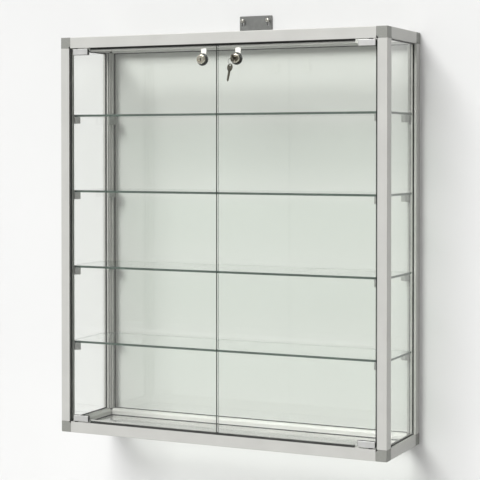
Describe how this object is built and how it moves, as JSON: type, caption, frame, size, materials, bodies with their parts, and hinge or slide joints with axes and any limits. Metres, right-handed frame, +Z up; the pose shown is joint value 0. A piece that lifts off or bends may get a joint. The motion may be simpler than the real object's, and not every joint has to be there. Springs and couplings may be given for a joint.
{
  "type": "wall mounted showcase",
  "caption": "Wall-hung display cabinet: aluminium profile frame, glass panels and shelves, locking glass swing doors and a rear wall bracket.",
  "frame": {"origin": "middle of the wall bracket's back face, level with its two wall screws", "axes": "+X to the viewer's right, +Y into the wall, +Z up; the doors face -Y"},
  "size_m": [0.8, 0.2464, 0.9675],
  "materials": {
    "aluminium_profile": "silver anodised, fine lengthwise die lines",
    "corner_casting": "grey die-cast, fine texture",
    "panel_glass": "clear float glass, faint green edge",
    "shelf_glass": "clear float glass, ground edges",
    "door_glass": "clear toughened glass, ground edges",
    "shelf_support": "grey moulded, satin",
    "clamp_metal": "satin",
    "lock_nickel": "polished nickel",
    "key_steel": "nickel-plated, worn",
    "bracket_steel": "grey coated steel",
    "screw_steel": "zinc-plated"
  },
  "bodies": {
    "cabinet": {"upright_front_left": "aluminium_profile", "upright_rear_left": "aluminium_profile", "upright_front_right": "aluminium_profile", "upright_rear_right": "aluminium_profile", "rail_bottom_left": "aluminium_profile", "rail_top_left": "aluminium_profile", "rail_bottom_right": "aluminium_profile", "rail_top_right": "aluminium_profile", "rail_bottom_rear": "aluminium_profile", "rail_bottom_front": "aluminium_profile", "rail_top_rear": "aluminium_profile", "rail_top_front": "aluminium_profile", "corner_block_bottom_front_left": "corner_casting", "corner_block_top_front_left": "corner_casting", "corner_block_bottom_rear_left": "corner_casting", "corner_block_top_rear_left": "corner_casting", "corner_block_bottom_front_right": "corner_casting", "corner_block_top_front_right": "corner_casting", "corner_block_bottom_rear_right": "corner_casting", "corner_block_top_rear_right": "corner_casting", "glass_side_left": "panel_glass", "glass_side_right": "panel_glass", "glass_back": "panel_glass", "glass_floor": "panel_glass", "glass_top": "panel_glass", "shelf_1": "shelf_glass", "shelf_2": "shelf_glass", "shelf_3": "shelf_glass", "shelf_4": "shelf_glass", "shelf_1_support_front_left": "shelf_support", "shelf_1_support_rear_left": "shelf_support", "shelf_1_support_front_right": "shelf_support", "shelf_1_support_rear_right": "shelf_support", "shelf_2_support_front_left": "shelf_support", "shelf_2_support_rear_left": "shelf_support", "shelf_2_support_front_right": "shelf_support", "shelf_2_support_rear_right": "shelf_support", "shelf_3_support_front_left": "shelf_support", "shelf_3_support_rear_left": "shelf_support", "shelf_3_support_front_right": "shelf_support", "shelf_3_support_rear_right": "shelf_support", "shelf_4_support_front_left": "shelf_support", "shelf_4_support_rear_left": "shelf_support", "shelf_4_support_front_right": "shelf_support", "shelf_4_support_rear_right": "shelf_support", "wall_bracket": "bracket_steel", "wall_screw_left": "screw_steel", "wall_screw_right": "screw_steel"},
    "left_door": {"door_glass_left": "door_glass", "door_clamp_top_left": "clamp_metal", "door_clamp_bottom_left": "clamp_metal", "lock_body_left": "lock_nickel"},
    "right_door": {"door_glass_right": "door_glass", "door_clamp_top_right": "clamp_metal", "door_clamp_bottom_right": "clamp_metal", "lock_body_right": "lock_nickel"},
    "left_lock_plug": {"lock_plug_left": "lock_nickel"},
    "right_lock_plug": {"lock_plug_right": "lock_nickel"},
    "lock_key": {"lock_key": "key_steel"},
    "spare_key": {"spare_key_on_ring": "key_steel"}
  },
  "joints": [
    {"name": "left_door_swing", "type": "hinge", "parent": "cabinet", "child": "left_door", "pos_m": [-0.3625, -0.211, -0.499], "axis": [0, 0, -1], "range_deg": [0, 100]},
    {"name": "right_door_swing", "type": "hinge", "parent": "cabinet", "child": "right_door", "pos_m": [0.3625, -0.211, -0.499], "axis": [0, 0, 1], "range_deg": [0, 100]},
    {"name": "left_lock_turn", "type": "hinge", "parent": "left_door", "child": "left_lock_plug", "pos_m": [-0.0345, -0.215, -0.1011], "axis": [0, 1, 0], "range_deg": [0, 90]},
    {"name": "right_lock_turn", "type": "hinge", "parent": "right_door", "child": "right_lock_plug", "pos_m": [0.0495, -0.215, -0.1011], "axis": [0, -1, 0], "range_deg": [0, 90]},
    {"name": "key_pull", "type": "slide", "parent": "right_lock_plug", "child": "lock_key", "axis": [0, -1, 0], "range_m": [0, 0.021]},
    {"name": "spare_key_swing", "type": "hinge", "parent": "lock_key", "child": "spare_key", "pos_m": [0.0495, -0.238, -0.1022], "axis": [1, 0, 0], "range_deg": [-70, 20]}
  ]
}
